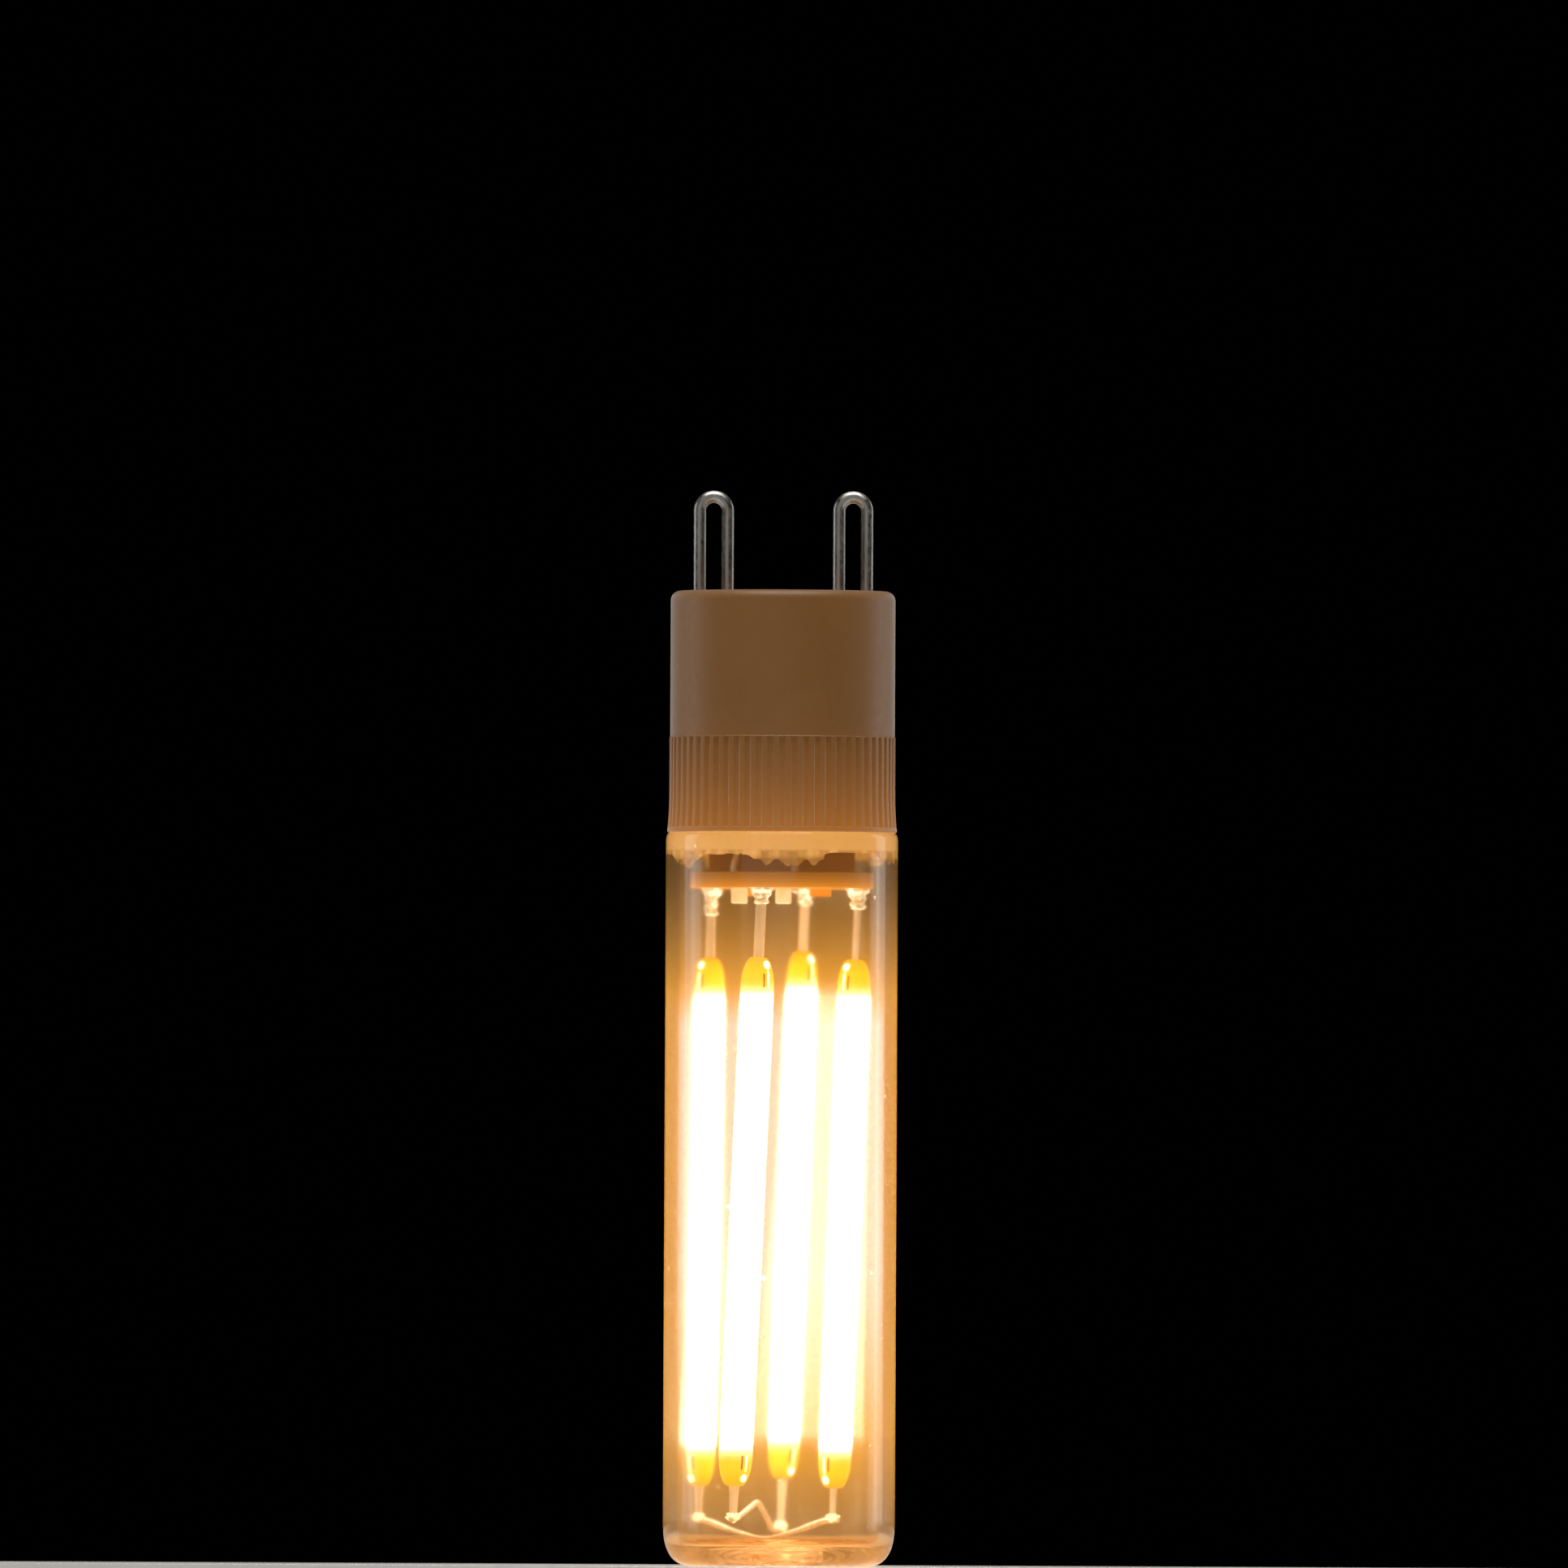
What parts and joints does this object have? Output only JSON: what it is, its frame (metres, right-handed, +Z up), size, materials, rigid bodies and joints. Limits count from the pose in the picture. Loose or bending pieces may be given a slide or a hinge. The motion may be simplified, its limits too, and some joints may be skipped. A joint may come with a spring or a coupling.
{
  "type": "led capsule bulb",
  "caption": "Slim LED capsule lamp: a clear flat-ended tube over lit filament rods, on a ribbed push-in base whose wire loops are the contacts.",
  "frame": {"origin": "centre of the tube's flat closed end, on which the lamp stands", "axes": "+Z up the lamp's axis towards the contact loops; the loops lie in the XZ plane"},
  "size_m": [0.015, 0.015, 0.0695],
  "materials": {
    "cover_glass": "clear, smooth",
    "base_plastic": "warm white moulding, satin",
    "adhesive": "cured silicone, cloudy",
    "contact_steel": "drawn wire, plated",
    "solder": "tin solder, bright",
    "circuit_board": "tan laminate",
    "capacitor_can": "shrink sleeve",
    "resistor_coat": "lacquer",
    "chip_package": "moulded epoxy",
    "chip_ceramic": "fired ceramic",
    "tinned_wire": "tinned copper",
    "jumper_wire": "nickel wire",
    "strip_metal": "plated steel strip",
    "filament_phosphor": "silicone with yellow phosphor, lit"
  },
  "bodies": {
    "root": {"clear_cover": "cover_glass", "base_housing": "base_plastic", "cover_adhesive": "adhesive", "contact_loop_left": "contact_steel", "contact_loop_right": "contact_steel", "contact_solder": "solder", "driver_board": "circuit_board", "smoothing_capacitor": "capacitor_can", "fuse_resistor": "resistor_coat", "bridge_rectifier": "chip_package", "driver_chip": "chip_package", "sense_resistors": "chip_ceramic", "filament_board": "circuit_board", "feed_wire_left": "tinned_wire", "feed_wire_right": "tinned_wire", "ceramic_capacitors": "chip_ceramic", "filament_solder": "solder", "outer_jumper": "jumper_wire", "inner_jumper": "jumper_wire", "filament_1_strip": "strip_metal", "filament_1_phosphor": "filament_phosphor", "filament_2_strip": "strip_metal", "filament_2_phosphor": "filament_phosphor", "filament_3_strip": "strip_metal", "filament_3_phosphor": "filament_phosphor", "filament_4_strip": "strip_metal", "filament_4_phosphor": "filament_phosphor"}
  },
  "joints": []
}
